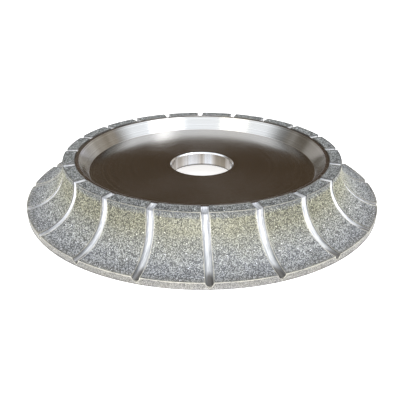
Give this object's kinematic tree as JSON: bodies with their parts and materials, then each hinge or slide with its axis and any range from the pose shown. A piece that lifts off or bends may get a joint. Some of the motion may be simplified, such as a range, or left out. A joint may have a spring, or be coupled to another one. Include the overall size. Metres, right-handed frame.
{
  "type": "diamond grinding wheel",
  "caption": "Dish-shaped profile grinding wheel with a hollow quarter-round flank, diamond pads parted by leaning cooling slots, and a plain spindle bore.",
  "frame": {"origin": "centre of the foot plane, on the bore's axis", "axes": "+Z along the bore's axis, from the wide foot towards the dish; one slot lies on the -Y side"},
  "size_m": [0.28, 0.28, 0.035],
  "materials": {
    "turned_steel": "Turned and polished bare steel with faint concentric tool marks and bright milled slots.",
    "diamond_coat": "Rough brazed diamond grit, silver grey with yellow-green crystals."
  },
  "bodies": {
    "root": {"steel_body": "turned_steel", "diamond_pad_01": "diamond_coat", "diamond_pad_02": "diamond_coat", "diamond_pad_03": "diamond_coat", "diamond_pad_04": "diamond_coat", "diamond_pad_05": "diamond_coat", "diamond_pad_06": "diamond_coat", "diamond_pad_07": "diamond_coat", "diamond_pad_08": "diamond_coat", "diamond_pad_09": "diamond_coat", "diamond_pad_10": "diamond_coat", "diamond_pad_11": "diamond_coat", "diamond_pad_12": "diamond_coat", "diamond_pad_13": "diamond_coat", "diamond_pad_14": "diamond_coat", "diamond_pad_15": "diamond_coat", "diamond_pad_16": "diamond_coat", "diamond_pad_17": "diamond_coat", "diamond_pad_18": "diamond_coat", "diamond_pad_19": "diamond_coat", "diamond_pad_20": "diamond_coat"}
  },
  "joints": []
}
